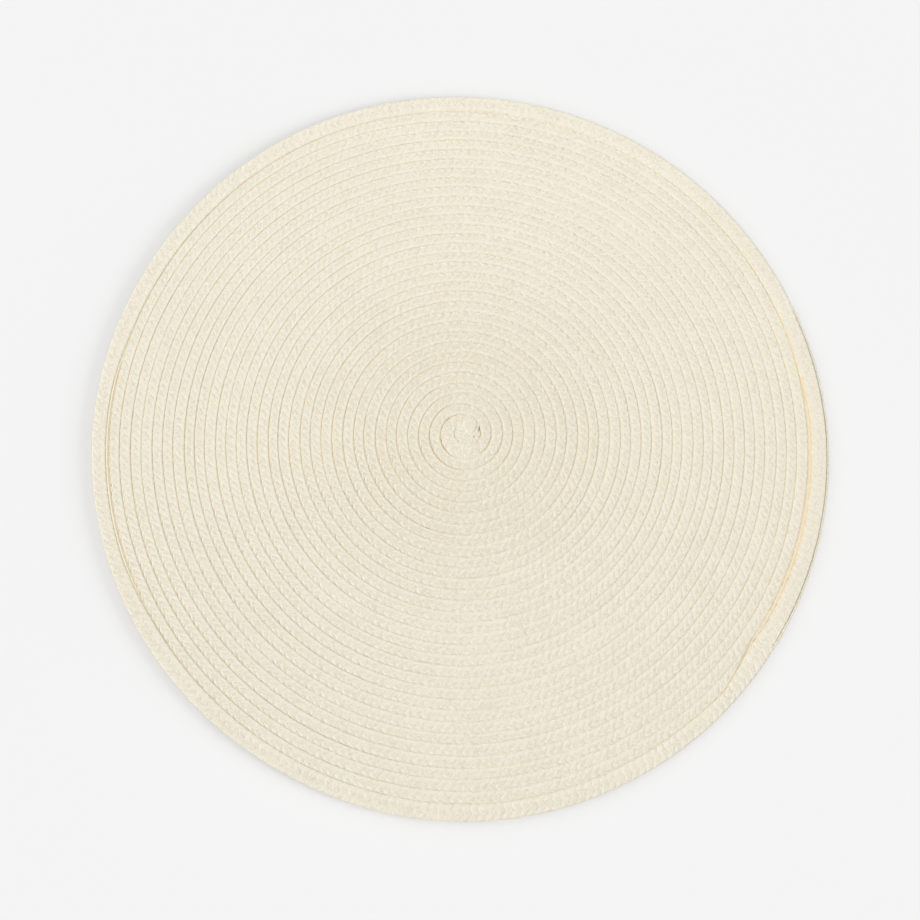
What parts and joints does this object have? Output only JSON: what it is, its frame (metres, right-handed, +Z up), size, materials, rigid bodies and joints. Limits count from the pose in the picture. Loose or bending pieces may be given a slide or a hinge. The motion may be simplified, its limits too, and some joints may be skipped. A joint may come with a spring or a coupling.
{
  "type": "round braided placemat",
  "caption": "Round flat table mat wound from a sewn braided cord, with a wider braided border round its edge.",
  "frame": {"origin": "middle of the mat's outline, on the surface it rests on", "axes": "+Z up out of the mat's face, +X to the right and +Y away from the viewer as in the picture"},
  "size_m": [0.3798, 0.3818, 0.0045],
  "materials": {
    "cord": "matt braided cotton",
    "border": "matt braided cotton"
  },
  "bodies": {
    "root": {"coil": "cord", "border": "border"}
  },
  "joints": []
}
